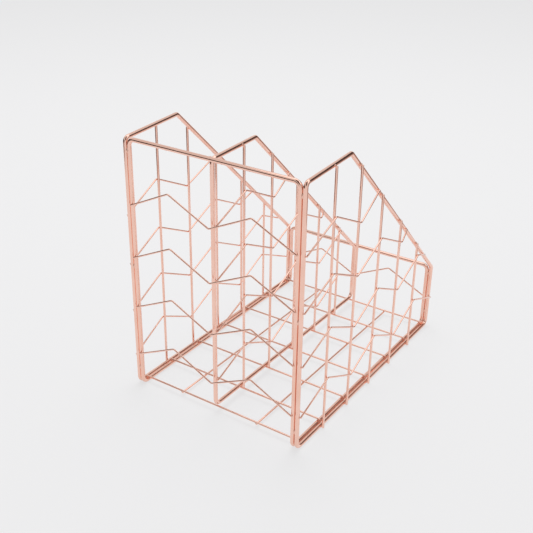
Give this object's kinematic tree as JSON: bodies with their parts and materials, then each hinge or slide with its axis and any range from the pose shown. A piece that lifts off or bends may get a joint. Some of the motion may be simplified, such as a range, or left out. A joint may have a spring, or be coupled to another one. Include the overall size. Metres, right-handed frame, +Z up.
{
  "type": "desk file holder",
  "caption": "Plated wire desk file holder: two side-by-side upright slots with a tall back, a low front, sloped sides and zigzag wires between the uprights.",
  "frame": {"origin": "on the desk under the middle of the holder", "axes": "+Z up, +Y towards the tall back, -Y towards the low front, +X across the two slots"},
  "size_m": [0.1824, 0.2572, 0.2408],
  "materials": {
    "rose_gold_plating": "steel wire with a bright rose-gold plating"
  },
  "bodies": {
    "root": {"saddle_frame": "rose_gold_plating", "left_outline": "rose_gold_plating", "left_upright_1": "rose_gold_plating", "left_upright_2": "rose_gold_plating", "left_upright_3": "rose_gold_plating", "left_upright_4": "rose_gold_plating", "left_upright_5": "rose_gold_plating", "left_zigzag_1": "rose_gold_plating", "left_zigzag_2": "rose_gold_plating", "left_zigzag_3": "rose_gold_plating", "left_zigzag_4": "rose_gold_plating", "right_outline": "rose_gold_plating", "right_upright_1": "rose_gold_plating", "right_upright_2": "rose_gold_plating", "right_upright_3": "rose_gold_plating", "right_upright_4": "rose_gold_plating", "right_upright_5": "rose_gold_plating", "right_zigzag_1": "rose_gold_plating", "right_zigzag_2": "rose_gold_plating", "right_zigzag_3": "rose_gold_plating", "right_zigzag_4": "rose_gold_plating", "divider_outline": "rose_gold_plating", "divider_upright_1": "rose_gold_plating", "divider_upright_2": "rose_gold_plating", "divider_upright_3": "rose_gold_plating", "divider_upright_4": "rose_gold_plating", "divider_upright_5": "rose_gold_plating", "divider_zigzag_1": "rose_gold_plating", "divider_zigzag_2": "rose_gold_plating", "divider_zigzag_3": "rose_gold_plating", "divider_zigzag_4": "rose_gold_plating", "back_zigzag_1": "rose_gold_plating", "back_zigzag_2": "rose_gold_plating", "back_zigzag_3": "rose_gold_plating", "back_zigzag_4": "rose_gold_plating", "front_zigzag": "rose_gold_plating", "floor_cross_wire_1": "rose_gold_plating", "floor_cross_wire_2": "rose_gold_plating", "floor_cross_wire_3": "rose_gold_plating", "floor_cross_wire_4": "rose_gold_plating", "floor_cross_wire_5": "rose_gold_plating", "floor_cross_wire_6": "rose_gold_plating", "floor_cross_wire_7": "rose_gold_plating", "floor_long_wire_left": "rose_gold_plating", "floor_long_wire_right": "rose_gold_plating"}
  },
  "joints": []
}
